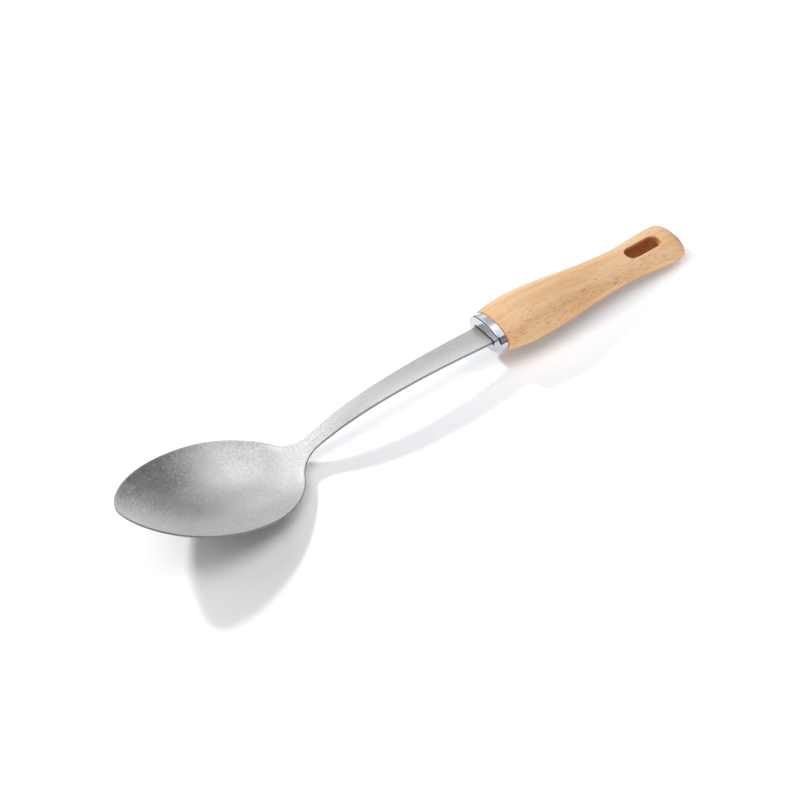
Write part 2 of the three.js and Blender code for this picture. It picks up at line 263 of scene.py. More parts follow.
class StageSizes(bpy.types.PropertyGroup):
    """Camera, floor and small lamp of the studio"""

    azimuth: angle("Azimuth", "Camera's turn round the ladle", -38.12)
    elevation: angle("Elevation", "Camera's height over the table", 47.2)
    distance: length("Distance", "From the camera to its target", 1200)
    lens: FloatProperty(
        name="Lens", description="Focal length", default=118.58,
        subtype="DISTANCE_CAMERA", unit="CAMERA",
    )
    target_x: length("Target along", "Where the camera looks, along the ladle", -7.55)
    target_z: length("Target height", "Where the camera looks, over the table", 2.7)
    floor_half: length("Floor half", "Half the side of the floor", 20000)
    # The floor's glow is painted light that lifts shadows more the farther they fall from the bowl's
    # shadow
    far_glow: number("Far glow", "Light from the floor itself far from the bowl", 0.45)
    glow_x: length("Glow middle X", "Place along the ladle from which the glow grows", -112)
    glow_y: length("Glow middle Y", "Place across the ladle from which the glow grows", -22)
    glow_start: length("Glow start", "From that place to where the glow starts to grow", 22)
    glow_end: length("Glow end", "From that place to where the glow is full", 360)
    # Painted shadow under the handle: an ellipse along the grip in which the floor's glow is dimmed
    # and cooled
    painted_shade_x: length("Stop middle", "Middle of the screen that dims the glow under the handle", 100)
    painted_shade_slim: number("Stop slimness", "Length over width of that screen", 3.6)
    painted_shade_inner: length("Stop inside", "Half width to which the screen dims fully", 15)
    painted_shade_outer: length("Stop outside", "Half width at which the screen ends", 21)
    painted_shade_share: number("Stop share", "Share of the glow that passes the screen", 0.5)
    lamp_height: angle("Lamp height", "Small lamp's height over the floor", 33.4)
    lamp_turn: angle("Lamp turn", "Small lamp's turn from the ladle's length", 108.5)
    lamp_distance: length("Lamp distance", "From the ladle to the small lamp", 1310)
    lamp_width: length("Lamp width", "Width of the small round lamp", 120)
    lamp_power: number("Lamp power", "Watts of the small lamp on floor and wood", 13.6)
    glint_power: number("Glint power", "Watts of the small lamp in the steel", 2)
    sky: number("Sky", "Light from all round", 0.05)


class LadlePlan:
    """Where the pieces lie, worked out from their sizes"""

    def __init__(self, scene):
        blade = scene.ladle_blade
        ferrule = scene.ladle_ferrule
        handle = scene.ladle_handle
        self.blade = blade
        self.ferrule = ferrule
        self.handle = handle
        self.flare_at = handle.length - handle.end_round
        fall = handle.axis_height - handle.flare_height / 2 - handle.table_clearance
        self.droop = math.asin(fall / self.flare_at)
        reach = blade.bowl_front + blade.bowl_heel + blade.neck_offset + blade.shank_length
        overall = reach + handle.length * math.cos(self.droop)
        self.tip_x = -overall / 2
        self.widest_x = self.tip_x + blade.bowl_front
        self.belly_x = self.widest_x + blade.belly_offset
        self.neck_x = self.widest_x + blade.bowl_heel + blade.neck_offset
        self.ferrule_x = self.neck_x + blade.shank_length
        self.shoulder_at = ferrule.depth + handle.fit_gap
        self.tenon_at = ferrule.front + handle.fit_gap
        self.tang_end_at = ferrule.front + blade.tang_length
        place = Matrix.Translation((self.ferrule_x, 0, handle.axis_height))
        self.grip = place @ Matrix.Rotation(self.droop, 4, "Y")


def direction(height, turn):
    """Direction at a height over the floor, turned from the ladle's length towards its left side"""
    level = math.cos(height)
    return Vector((level * math.cos(turn), level * math.sin(turn), math.sin(height)))


def curve_through(points, at):
    """Smooth curve through points that each give a place, a value and a slope"""
    last = 1
    while last < len(points) - 1 and at > points[last][0]:
        last += 1
    start, low, leave = points[last - 1]
    end, high, arrive = points[last]
    span = end - start
    t = (at - start) / span
    rise = t * t * (3 - 2 * t)
    bend = leave * t * (1 - t) ** 2 + arrive * t * t * (t - 1)
    return low + (high - low) * rise + bend * span


def smooth_step(at, start, end):
    """From 0 at the start to 1 at the end, level at both"""
    t = min(max((at - start) / (end - start), 0), 1)
    return t * t * (3 - 2 * t)


class BladeShape:
    """One sheet of steel: its outline from above, its keel from the side and its dish across"""

    def __init__(self, plan):
        size = plan.blade
        self.plan = plan
        self.size = size
        self.ferrule_z = plan.handle.axis_height - size.thickness / 2 / math.cos(plan.droop)
        self.keel_points = [
            (plan.tip_x, size.tip_height, size.tip_slope),
            (plan.belly_x, -size.rest_flat, 0),
            (plan.neck_x, size.neck_height, size.neck_slope),
            (plan.neck_x + size.crown_offset, size.crown_height, 0),
            (plan.ferrule_x, self.ferrule_z, -math.tan(plan.droop)),
        ]
        half = size.bowl_width / 2
        self.dish_radius = (half ** 2 + size.dish_depth ** 2) / (2 * size.dish_depth)
        self.centre, self.touch_turn = self.neck_fillet()
        self.touch = self.heel(self.touch_turn)
        self.edges = self.outline()
        self.rim = KDTree(len(self.edges))
        for i, edge in enumerate(self.edges):
            self.rim.insert((edge.x, edge.y, 0), i)
        self.rim.balance()

    def keel(self, x):
        """Height of the underside's middle line"""
        if x > self.plan.ferrule_x:
            return self.ferrule_z - (x - self.plan.ferrule_x) * math.tan(self.plan.droop)
        return curve_through(self.keel_points, x)

    def shank_half(self, x):
        """Half the shank's width, a straight taper"""
        along = (x - self.plan.neck_x) / self.size.shank_length
        return (self.size.neck_width + (self.size.shank_width - self.size.neck_width) * along) / 2

    def heel(self, turn):
        """Right-hand outline of the heel, a quarter turn from the widest place to the middle"""
        half = self.size.bowl_width / 2 * max(math.cos(turn), 0) ** self.size.heel_sharpness
        return Vector((self.plan.widest_x + self.size.bowl_heel * math.sin(turn), half))

    def neck_fillet(self):
        """Centre of the circle that touches heel and shank, and the heel's turn where it does"""
        radius = self.size.neck_fillet
        turns = [i / HEEL_SAMPLES * math.pi / 2 for i in range(HEEL_SAMPLES + 1)]
        oval = [(turn, self.heel(turn)) for turn in turns]
        low = self.plan.widest_x
        high = low + self.size.bowl_heel + radius
        for _ in range(FILLET_HALVINGS):
            x = (low + high) / 2
            centre = Vector((x, self.shank_half(x) + radius))
            turn, nearest = min(oval, key=lambda place: (place[1] - centre).length)
            if (nearest - centre).length < radius:
                low = x
            else:
                high = x
        return centre, turn

    def outline(self):
        """Right-hand outline from the tip to the shank's shoulder inside the ferrule"""
        size = self.size
        points = []
        for i in range(FRONT_STEPS):
            turn = i / FRONT_STEPS * math.pi / 2
            half = size.bowl_width / 2 * math.sin(turn) ** size.tip_sharpness
            points.append(Vector((self.plan.widest_x - size.bowl_front * math.cos(turn), half)))
        for i in range(HEEL_STEPS):
            points.append(self.heel(i / HEEL_STEPS * self.touch_turn))
        spoke = self.touch - self.centre
        start = math.atan2(spoke.y, spoke.x) + 2 * math.pi
        for i in range(FILLET_STEPS):
            turn = start + (1.5 * math.pi - start) * i / FILLET_STEPS
            points.append(self.centre + size.neck_fillet * Vector((math.cos(turn), math.sin(turn))))
        shoulder = self.plan.ferrule_x + self.plan.ferrule.front * math.cos(self.plan.droop)
        for i in range(SHANK_STEPS + 1):
            x = self.centre.x + (shoulder - self.centre.x) * i / SHANK_STEPS
            points.append(Vector((x, self.shank_half(x))))
        return points

    def underside(self, x, y):
        """Height of the underside: dished in the bowl, running out to a low camber along the shank"""
        fade = 1 - smooth_step(x, self.touch.x, self.touch.x + self.size.dish_fade)
        bend = fade / self.dish_radius
        dish = y * y * bend / (1 + math.sqrt(1 - (bend * y) ** 2))
        camber = (1 - fade) * self.size.shank_camber * (y / self.shank_half(x)) ** 2
        return self.keel(x) + dish - camber

    def point(self, x, y, depth):
        """A point of the sheet, a given depth up through its thickness and never under the table"""
        step = SLOPE_STEP
        rise_x = self.underside(x + step, y) - self.underside(x - step, y)
        rise_y = self.underside(x, y + step) - self.underside(x, y - step)
        normal = Vector((-rise_x, -rise_y, 2 * step)).normalized()
        place = Vector((x, y, self.underside(x, y))) + normal * depth
        place.z = max(place.z, 0)
        return place

    def ring(self, edge, inward):
        """One closed ring round the sheet: underside, right rim, top and left rim"""
        radius = self.size.rim_round
        in_bowl = 1 - smooth_step(edge.x, self.touch.x, self.plan.neck_x + self.size.dish_fade)
        thinned = in_bowl * (self.size.thickness - self.size.rim_thickness) / 2
        top = self.size.thickness - thinned
        turns = [i / RIM_STEPS * math.pi / 2 for i in range(RIM_STEPS + 1)]
        rounds = [(radius * (1 - math.sin(t)), thinned + radius * (1 - math.cos(t))) for t in turns]
        rounds += [(radius * (1 - math.cos(t)), top - radius * (1 - math.sin(t))) for t in turns]
        inner = edge + inward * radius
        inner.y = max(inner.y, 0)
        shares = [2 * i / ACROSS_STEPS - 1 for i in range(1, ACROSS_STEPS)]
        right = []
        left = []
        for inset, depth in rounds:
            place = edge + inward * inset
            right.append(self.point(place.x, max(place.y, 0), depth))
            left.append(self.point(place.x, -max(place.y, 0), depth))
        under = []
        over = []
        for share in shares:
            from_rim = self.rim.find((inner.x, abs(inner.y * share), 0))[2]
            ground = thinned * (1 - smooth_step(from_rim, 0, self.size.rim_band))
            under.append(self.point(inner.x, inner.y * share, ground))
            over.append(self.point(inner.x, -inner.y * share, self.size.thickness - ground))
        return under + right + over + left[::-1]

    def on_edge(self, row, place):
        """Whether a face lies on the sheet's edge, up to halfway round its upper round"""
        # Round a ring come the underside, the right rim upwards, the top and the left rim downwards
        across = ACROSS_STEPS - 1
        last = 2 * across + 4 * (RIM_STEPS + 1) - 1
        count = RIM_STEPS + 1 + RIM_STEPS // 2
        return 0 <= place - across < count or 0 <= last - 1 - place < count

    def rings(self):
        """Rings from the tip to the end of the tang"""
        first = self.edges[1]
        before = [Vector((first.x, -first.y))] + self.edges[:-1]
        after = self.edges[1:] + self.edges[-1:]
        rings = []
        for edge, previous, following in zip(self.edges, before, after):
            along = (following - previous).normalized()
            rings.append(self.ring(edge, Vector((along.y, -along.x))))
        tang_end = self.plan.ferrule_x + self.plan.tang_end_at * math.cos(self.plan.droop)
        for x in (self.edges[-1].x, tang_end):
            rings.append(self.ring(Vector((x, self.size.tang_width / 2)), Vector((0, -1))))
        return rings


def loft(name, rings, is_second=lambda row, place: False):
    """A closed, smooth piece through a row of rings that have the same number of points

    is_second tells by its row and its place in the ring whether a face takes the second material.
    """
    shape = bmesh.new()
    rows = [[shape.verts.new(point) for point in ring] for ring in rings]
    count = len(rings[0])
    for row, (near, far) in enumerate(zip(rows, rows[1:])):
        for i in range(count):
            j = (i + 1) % count
            face = shape.faces.new((near[i], near[j], far[j], far[i]))
            face.material_index = int(is_second(row, i))
    shape.faces.new(rows[0][::-1])
    shape.faces.new(rows[-1])
    bmesh.ops.remove_doubles(shape, verts=shape.verts, dist=MERGE_DISTANCE)
    bmesh.ops.dissolve_degenerate(shape, edges=shape.edges, dist=MERGE_DISTANCE)
    bmesh.ops.recalc_face_normals(shape, faces=shape.faces)
    mesh = bpy.data.meshes.new(name)
    shape.to_mesh(mesh)
    shape.free()
    piece = bpy.data.objects.new(name, mesh)
    bpy.context.scene.collection.objects.link(piece)
    return piece


def carve(piece, *cutters):
    """Cut the cutters out of the piece, keeping their materials on the cut faces, and remove them"""
    for cutter in cutters:
        cut = piece.modifiers.new("Cut", "BOOLEAN")
        cut.object = cutter
        cut.operation = "DIFFERENCE"
        cut.solver = "EXACT"
        cut.material_mode = "TRANSFER"
    bpy.context.view_layer.update()
    graph = bpy.context.evaluated_depsgraph_get()
    carved = bpy.data.meshes.new_from_object(piece.evaluated_get(graph))
    piece.modifiers.clear()
    piece.data = carved
    for cutter in cutters:
        bpy.data.meshes.remove(cutter.data)
    return piece


def smooth(piece):
    """Shade smooth, with true flats and the edges that are really sharp kept"""
    piece.data.shade_smooth()
    piece.data.set_sharp_from_angle(angle=SHARP_ANGLE)
    flats = piece.modifiers.new("Flat faces stay flat", "WEIGHTED_NORMAL")
    flats.keep_sharp = True
    return piece


def dress(piece, node):
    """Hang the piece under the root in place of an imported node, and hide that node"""
    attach(piece, "root")
    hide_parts(node)


def oval_ring(along, half_width, half_height, squareness):
    """Oval ring across the handle's axis"""
    ring = []
    for i in range(OVAL_STEPS):
        turn = i / OVAL_STEPS * 2 * math.pi
        wide = math.copysign(abs(math.cos(turn)) ** (2 / squareness), math.cos(turn))
        tall = math.copysign(abs(math.sin(turn)) ** (2 / squareness), math.sin(turn))
        ring.append(Vector((along, half_width * wide, half_height * tall)))
    return ring


def long_round(radius, half_length):
    """Outline of a slot with round ends, as pairs along and across it"""
    outline = []
    for i in range(SLOT_STEPS):
        turn = (i + 0.5) / SLOT_STEPS * 2 * math.pi
        side = math.copysign(half_length - radius, math.cos(turn))
        outline.append((side + radius * math.cos(turn), radius * math.sin(turn)))
    return outline


def ferrule_rings(plan):
    """Rings of the cap from its flat front face, round its edge and along its band"""
    size = plan.ferrule
    rings = []
    for i in range(ROUND_STEPS + 1):
        turn = i / ROUND_STEPS * math.pi / 2
        inset = size.edge_round * (1 - math.sin(turn))
        along = size.edge_round * (1 - math.cos(turn))
        rings.append((along, inset))
    rings.append((size.depth, 0))
    return [
        oval_ring(along, size.width / 2 - inset, size.height / 2 - inset, plan.handle.squareness)
        for along, inset in rings
    ]


def ferrule_cutters(plan):
    """Cutters for the cap's hollow and for the shank's slot in its front face"""
    size = plan.ferrule
    inner_width = size.width / 2 - size.wall
    inner_height = size.height / 2 - size.wall
    hollow = [
        oval_ring(along, inner_width, inner_height, plan.handle.squareness)
        for along in (size.front, 2 * size.depth)
    ]
    half_width = plan.blade.shank_width / 2 + size.slot_side_gap
    half_height = plan.blade.thickness / 2 + size.slot_face_gap
    corners = [(y * half_width, z * half_height) for y, z in ((-1, -1), (1, -1), (1, 1), (-1, 1))]
    slot = [
        [Vector((along, across, height)) for across, height in corners]
        for along in (-size.depth, size.depth)
    ]
    return loft("ferrule_hollow", hollow), loft("ferrule_slot", slot)


class HandleShape:
    """The turned and flattened grip: its outlines from above and from the side, along its axis"""

    def __init__(self, plan):
        size = plan.handle
        self.plan = plan
        self.size = size
        self.widths = self.outline(
            size.front_width, size.bulge_width, size.waist_width, size.flare_width,
        )
        self.heights = self.outline(
            size.front_height, size.bulge_height, size.waist_height, size.flare_height,
        )

    def outline(self, front, bulge, waist, flare):
        """Half sizes along the axis"""
        start = self.plan.shoulder_at
        swell = self.size.front_swell * front / self.size.front_width
        return [
            (start, front / 2, swell),
            (start + self.size.bulge_setback, bulge / 2, 0),
            (start + self.size.waist_setback, waist / 2, 0),
            (self.plan.flare_at, flare / 2, 0),
        ]

    def surface_height(self, along, across):
        """Height of the upper surface over the axis"""
        share = min(abs(across) / curve_through(self.widths, along), 1)
        power = self.size.squareness
        return curve_through(self.heights, along) * (1 - share ** power) ** (1 / power)

    def rings(self):
        """Rings from the tenon inside the ferrule to the rounded end"""
        plan = self.plan
        size = self.size
        inset = plan.ferrule.wall + size.fit_gap
        tenon_width = plan.ferrule.width / 2 - inset
        tenon_height = plan.ferrule.height / 2 - inset
        rings = [
            oval_ring(along, tenon_width, tenon_height, size.squareness)
            for along in (plan.tenon_at, plan.shoulder_at)
        ]
        places = []
        for i in range(ROUND_STEPS):
            turn = i / ROUND_STEPS * math.pi / 2
            along = plan.shoulder_at + size.front_round * (1 - math.cos(turn))
            places.append((along, size.front_round * (1 - math.sin(turn))))
        start = plan.shoulder_at + size.front_round
        places += [(start + (plan.flare_at - start) * i / GRIP_STEPS, 0) for i in range(GRIP_STEPS)]
        for along, inset in places:
            half_width = curve_through(self.widths, along) - inset
            half_height = curve_through(self.heights, along) - inset
            rings.append(oval_ring(along, half_width, half_height, size.squareness))
        for i in range(END_STEPS + 1):
            reach = math.sin(i / END_STEPS * math.pi / 2)
            shrink = max(1 - reach ** size.end_squareness, 0) ** (1 / size.end_squareness)
            along = plan.flare_at + (size.end_round - size.end_inset) * reach
            half_width = size.flare_width / 2 * shrink
            half_height = size.flare_height / 2 * shrink
            rings.append(oval_ring(along, half_width, half_height, size.squareness))
        return rings

    def at_shoulder(self, row, place):
        """Whether a face lies on the shoulder's end grain, up to halfway round its edge, where the
        darker cut wood is partly end grain and partly painted shade in the gap behind the ferrule
        """
        return 0 < row < 2 + ROUND_STEPS // 2

    def slot_cutter(self):
        """Cutter for the hanging slot, which opens out in a round lip at both faces"""
        size = self.size
        half_length = size.slot_length / 2
        centre = size.length - size.slot_margin - half_length
        turns = [i / ROUND_STEPS * LIP_TURN for i in range(ROUND_STEPS + 1)]
        profile = [(1 - math.cos(turn), 1 - math.sin(turn)) for turn in turns]
        rings = []
        for face, radius in ((-1, size.slot_under_round), (1, size.slot_round)):
            lips = []
            for across, down in profile:
                grow = radius * across
                drop = radius * down
                ring = []
                for x, y in long_round(size.slot_width / 2 + grow, half_length + grow):
                    height = self.surface_height(centre + x, y) - drop
                    ring.append(Vector((centre + x, y, face * height)))
                lips.append(ring)
            outer = [Vector((p.x, p.y, p.z + face * radius)) for p in lips[-1]]
            lips.append(outer)
            rings += lips[::-1] if face < 0 else lips
        return loft("hanging_slot", rings)

    def mortise_cutter(self):
        """Cutter for the hole that takes the tang and its resin"""
        size = self.size
        inset = 2 * size.fit_gap + size.bond
        half_height = self.plan.blade.thickness / 2 + inset
        half_width = self.plan.blade.tang_width / 2 + inset
        outline = long_round(half_height, half_width)
        rings = [
            [Vector((along, across, height)) for across, height in outline]
            for along in (0, self.plan.tang_end_at + inset)
        ]
        return loft("mortise", rings)


def add_node(tree, kind, settings=(), links=()):
    """Add one shader node, set its options and inputs, and link inputs from other nodes' outputs"""
    node = tree.nodes.new("ShaderNode" + kind)
    for name, value in dict(settings).items():
        if isinstance(name, int) or name in node.inputs:
            node.inputs[name].default_value = value
        else:
            setattr(node, name, value)
    for name, source in dict(links).items():
        tree.links.new(source, node.inputs[name])
    return node


def new_material(name, settings):
    """A material with one Principled shader, set directly on its sockets"""
    material = bpy.data.materials.new(name)
    material.use_nodes = True
    shader = material.node_tree.nodes["Principled BSDF"]
    for socket, value in settings.items():
        shader.inputs[socket].default_value = value
    return material, material.node_tree, shader


def handle_grain(tree, plan, size, detail):
    """Noise in grains of a real length and width, laid along the handle's axis"""
    along, across = size
    place = add_node(tree, "TexCoord").outputs["Object"]
    axis = add_node(
        tree, "Mapping",
        {
            "vector_type": "TEXTURE",
            "Location": plan.grip.translation,
            "Rotation": (0, plan.droop, 0),
            "Scale": (along, across, across),
        },
        {"Vector": place},
    )
    return add_node(
        tree, "TexNoise", {"Scale": 1, "Detail": detail}, {"Vector": axis.outputs["Vector"]},
    ).outputs["Fac"]


def tumbled_steel(colours):
    """Stainless sheet, tumbled in chips"""
    # Tumbling leaves a matt grey skin of tiny dents. Each has its own grey and leans its own way, so
    # the metal is finely grained, and a few deep dents sparkle alone. The chips glide along the shank
    # and leave it smoother.
    material, tree, shader = new_material("Tumbled stainless steel", {"Metallic": 1})
    place = add_node(tree, "TexCoord").outputs["Object"]
    # Real dents are about 0.1 mm across, and are drawn at 0.34 mm so that they show
    dents = add_node(tree, "TexVoronoi", {"Scale": 1 / DENT_SIZE}, {"Vector": place})
    way = add_node(
        tree, "VectorMath",
        {"operation": "SUBTRACT", 1: (EVEN_CHANCE, EVEN_CHANCE, EVEN_CHANCE)},
        {0: dents.outputs["Color"]},
    )
    along = add_node(tree, "SeparateXYZ", (), {"Vector": place})
    glide = add_node(
        tree, "MapRange",
        {"From Min": GLIDE_START, "From Max": GLIDE_END, "To Min": 1, "To Max": GLIDE_SHARE},
        {"Value": along.outputs["X"]},
    )
    pounded = add_node(
        tree, "VectorMath", {"operation": "SCALE"},
        {"Vector": way.outputs["Vector"], "Scale": glide.outputs["Result"]},
    ).outputs["Vector"]
    chance = add_node(tree, "SeparateXYZ", (), {"Vector": pounded}).outputs
    shine = add_node(
        tree, "MapRange", {"From Min": -EVEN_CHANCE, "From Max": EVEN_CHANCE},
        {"Value": chance["X"]},
    )
    skin = add_node(
        tree, "Mix",
        {"data_type": "RGBA", MIX_A: colours.steel_dull, MIX_B: colours.steel},
        {0: shine.outputs["Result"]},
    )
    tree.links.new(skin.outputs[MIX_RESULT], shader.inputs["Base Color"])
    steepness = add_node(
        tree, "MapRange",
        {"From Min": DEEP_FROM, "From Max": DEEP_FULL, "To Min": DENT_LEAN, "To Max": DEEP_LEAN},
        {"Value": chance["Z"]},
    )
    lean = add_node(
        tree, "VectorMath", {"operation": "SCALE"},
        {"Vector": pounded, "Scale": steepness.outputs["Result"]},
    )
    surface = add_node(tree, "NewGeometry")
    tilt = add_node(
        tree, "VectorMath", {"operation": "ADD"},
        {0: lean.outputs["Vector"], 1: surface.outputs["Normal"]},
    )
    facing = add_node(tree, "VectorMath", {"operation": "NORMALIZE"}, {0: tilt.outputs["Vector"]})
    tree.links.new(facing.outputs["Vector"], shader.inputs["Normal"])
    # The chips work unevenly, in patches of about 8 mm
    patches = add_node(tree, "TexNoise", {"Scale": 1 / PATCH_SIZE, "Detail": 3}, {"Vector": place})
    dullness = add_node(
        tree, "MapRange",
        {"From Min": 0.35, "From Max": 0.65, "To Min": 0.32, "To Max": 0.38},
        {"Value": patches.outputs["Fac"]},
    )
    tree.links.new(dullness.outputs["Result"], shader.inputs["Roughness"])
    return material


def ground_and_shaded_steel(colours):
    """Edge of the sheet, ground after blanking"""
    # The wheel leaves the edge duller and darker than the faces, with short scratches of about half a
    # millimetre. Part of that darker grey is painted shade on the unlit edge of the sheet.
    material, tree, shader = new_material(
        "Ground stainless steel with painted shade", {"Base Color": colours.edge, "Metallic": 1},
    )
    place = add_node(tree, "TexCoord").outputs["Object"]
    scratches = add_node(
        tree, "TexNoise", {"Scale": 1 / SCRATCH_SIZE, "Detail": 2}, {"Vector": place},
    )
    dullness = add_node(
        tree, "MapRange",
        {"From Min": 0.35, "From Max": 0.65, "To Min": 0.4, "To Max": 0.55},
        {"Value": scratches.outputs["Fac"]},
    )
    tree.links.new(dullness.outputs["Result"], shader.inputs["Roughness"])
    return material


def polished_steel(colours, plan):
    """Steel cap, polished on a wheel"""
    # Polishing leaves a bright, slightly soft mirror with faint duller lines round the band
    material, tree, shader = new_material(
        "Polished steel", {"Base Color": colours.polished, "Metallic": 1},
    )
    # Wheel lines are finer than 0.1 mm, and are drawn at 0.4 mm so that they show
    dullness = add_node(
        tree, "MapRange",
        {"From Min": 0.3, "From Max": 0.7, "To Min": 0.14, "To Max": 0.24},
        {"Value": handle_grain(tree, plan, WHEEL_LINE, 2)},
    )
    tree.links.new(dullness.outputs["Result"], shader.inputs["Roughness"])
    return material


def beech_grain(tree, plan, ground, band, fleck):
    """Beech's colour, with growth bands and flecks along the handle, and the strength of both"""
    bands = add_node(
        tree, "MapRange", {"From Min": 0.36, "From Max": 0.64},
        {"Value": handle_grain(tree, plan, GROWTH_BAND, 3)},
    ).outputs["Result"]
    wood = add_node(tree, "Mix", {"data_type": "RGBA", MIX_A: ground, MIX_B: band}, {0: bands})
    specks = add_node(
        tree, "MapRange", {"From Min": 0.65, "From Max": 0.7},
        {"Value": handle_grain(tree, plan, FLECK, 0)},
    )
    groups = add_node(
        tree, "MapRange",
        {"From Min": 0.38, "From Max": 0.62, "To Min": 0.35, "To Max": 0.85},
        {"Value": handle_grain(tree, plan, FLECK_GROUP, 1)},
    )
    # The rays end in flecks on the grip's right side, and lie along the surface over its back
    place = add_node(tree, "TexCoord").outputs["Object"]
    across = add_node(tree, "SeparateXYZ", (), {"Vector": place})
    side = add_node(
        tree, "MapRange",
        {"From Min": FLECK_FULL_Y, "From Max": FLECK_FAINT_Y, "To Min": 1, "To Max": 0.3},
        {"Value": across.outputs["Y"]},
    )
    shown = add_node(
        tree, "Math", {"operation": "MULTIPLY"},
        {0: specks.outputs["Result"], 1: groups.outputs["Result"]},
    )
    flecks = add_node(
        tree, "Math", {"operation": "MULTIPLY"},
        {0: shown.outputs[0], 1: side.outputs["Result"]},
    ).outputs[0]
    grain = add_node(
        tree, "Mix", {"data_type": "RGBA", MIX_B: fleck},
        {0: flecks, MIX_A: wood.outputs[MIX_RESULT]},
    )
    return grain.outputs[MIX_RESULT], bands, flecks


def oiled_beech(colours, plan):
    """Beech, sanded and oiled"""
    # Sanding and oil give a pale warm wood with a low sheen, on which faint growth bands and beech's
    # short dark flecks run along the grip
    material, tree, shader = new_material("Oiled beech", {"IOR": 1.5, "Specular IOR Level": 0.35})
    grain, bands, flecks = beech_grain(tree, plan, colours.beech, colours.beech_dark, colours.pore)
    tree.links.new(grain, shader.inputs["Base Color"])
    sheen = add_node(tree, "MapRange", {"To Min": 0.5, "To Max": 0.6}, {"Value": bands})
    tree.links.new(sheen.outputs["Result"], shader.inputs["Roughness"])
    hollows = add_node(
        tree, "Bump", {"invert": True, "Strength": 0.5, "Distance": FLECK_DEPTH},
        {"Height": flecks},
    )
    tree.links.new(hollows.outputs["Normal"], shader.inputs["Normal"])
    return material


def cut_and_shaded_beech(colours, plan):
    """Beech as the router leaves it, rubbed with oil"""
    # The cut walls of the slot and the shoulder's end grain drink more oil: they are duller, with
    # deeper grain, and darker partly from the oil and partly as painted shade in the slot and in the
    # gap behind the ferrule
    material, tree, shader = new_material(
        "Routed beech with painted shade", {"IOR": 1.5, "Specular IOR Level": 0.2, "Roughness": 0.7},
    )
    grain, bands, _ = beech_grain(tree, plan, colours.cut_and_shaded_beech, colours.shaded_cut_grain, colours.pore)
    tree.links.new(grain, shader.inputs["Base Color"])
    ridges = add_node(tree, "Bump", {"Strength": 0.6, "Distance": RIDGE_DEPTH}, {"Height": bands})
    tree.links.new(ridges.outputs["Normal"], shader.inputs["Normal"])
    return material


def cured_resin(colours):
    """Casting resin, cured round the tang"""
    # It sets glossy and honey-coloured, a little cloudy with fine bubbles of about half a millimetre
    material, tree, shader = new_material("Cured resin", {"IOR": 1.52, "Roughness": 0.35})
    place = add_node(tree, "TexCoord").outputs["Object"]
    clouds = add_node(tree, "TexNoise", {"Scale": 1 / BUBBLE_SIZE, "Detail": 2}, {"Vector": place})
    mixed = add_node(
        tree, "Mix", {"data_type": "RGBA", MIX_A: colours.resin, MIX_B: colours.resin_cloud},
        {0: clouds.outputs["Fac"]},
    )
    tree.links.new(mixed.outputs[MIX_RESULT], shader.inputs["Base Color"])
    return material


def opal_acrylic(colours, stage):
    """White acrylic sheet of the studio, satin, with a painted glow"""
    # The sheet glows a little for the eye and the metal only. This painted light keeps it white where
    # the lamps fall off, and it grows away from the bowl's shadow, so shadows farther from the bowl
    # are painted lighter. Under the handle the glow is dimmed and cooled: a painted shadow, with
    # painted cool shade against the warm light that the wood throws down.
    material, tree, shader = new_material(
        "Opal acrylic with painted glow and shade", {"Base Color": colours.floor, "Roughness": 0.9},
    )
    place = add_node(tree, "TexCoord").outputs["Object"]
    # Painted light: the glow grows away from the bowl's shadow, so that farther shadows are lifted
    # lighter
    away = add_node(
        tree, "VectorMath", {"operation": "DISTANCE", 1: (stage.glow_x, stage.glow_y, 0)},
        {0: place},
    )
    square = add_node(
        tree, "MapRange",
        {"From Min": stage.glow_start, "From Max": stage.glow_end, "To Max": stage.far_glow ** 2},
        {"Value": away.outputs["Value"]},
    )
    growth = add_node(tree, "Math", {"operation": "SQRT"}, {0: square.outputs["Result"]})
    # Painted shadow under the handle: inside an ellipse along the grip the glow is dimmed and cooled
    slim = 1 / stage.painted_shade_slim
    beside = add_node(
        tree, "VectorMath",
        {"operation": "MULTIPLY_ADD", 1: (slim, 1, 0), 2: (-stage.painted_shade_x * slim, 0, 0)}, {0: place},
    )
    reach = add_node(
        tree, "VectorMath", {"operation": "LENGTH"}, {0: beside.outputs["Vector"]},
    ).outputs["Value"]
    screen = {"From Min": stage.painted_shade_inner, "From Max": stage.painted_shade_outer}
    painted_shade_dimming = add_node(tree, "MapRange", {**screen, "To Min": stage.painted_shade_share}, {"Value": reach})
    inside = add_node(tree, "MapRange", {**screen, "To Min": 1, "To Max": 0}, {"Value": reach})
    tint = add_node(
        tree, "Mix", {"data_type": "RGBA", MIX_A: colours.glow, MIX_B: colours.screen},
        {0: inside.outputs["Result"]},
    )
    tree.links.new(tint.outputs[MIX_RESULT], shader.inputs["Emission Color"])
    amount = add_node(
        tree, "Math", {"operation": "MULTIPLY"},
        {0: growth.outputs[0], 1: painted_shade_dimming.outputs["Result"]},
    )
    # The glow shows to the eye, in the metal and through glass, and lights nothing
    ray = add_node(tree, "LightPath").outputs
    seen = add_node(
        tree, "Math", {"operation": "ADD"},
        {0: ray["Is Camera Ray"], 1: ray["Is Glossy Ray"]},
    )
    shown = add_node(
        tree, "Math", {"operation": "ADD"},
        {0: seen.outputs[0], 1: ray["Is Transmission Ray"]},
    )
    strength = add_node(
        tree, "Math", {"operation": "MULTIPLY"},
        {0: amount.outputs[0], 1: shown.outputs[0]},
    )
    tree.links.new(strength.outputs[0], shader.inputs["Emission Strength"])
    return material


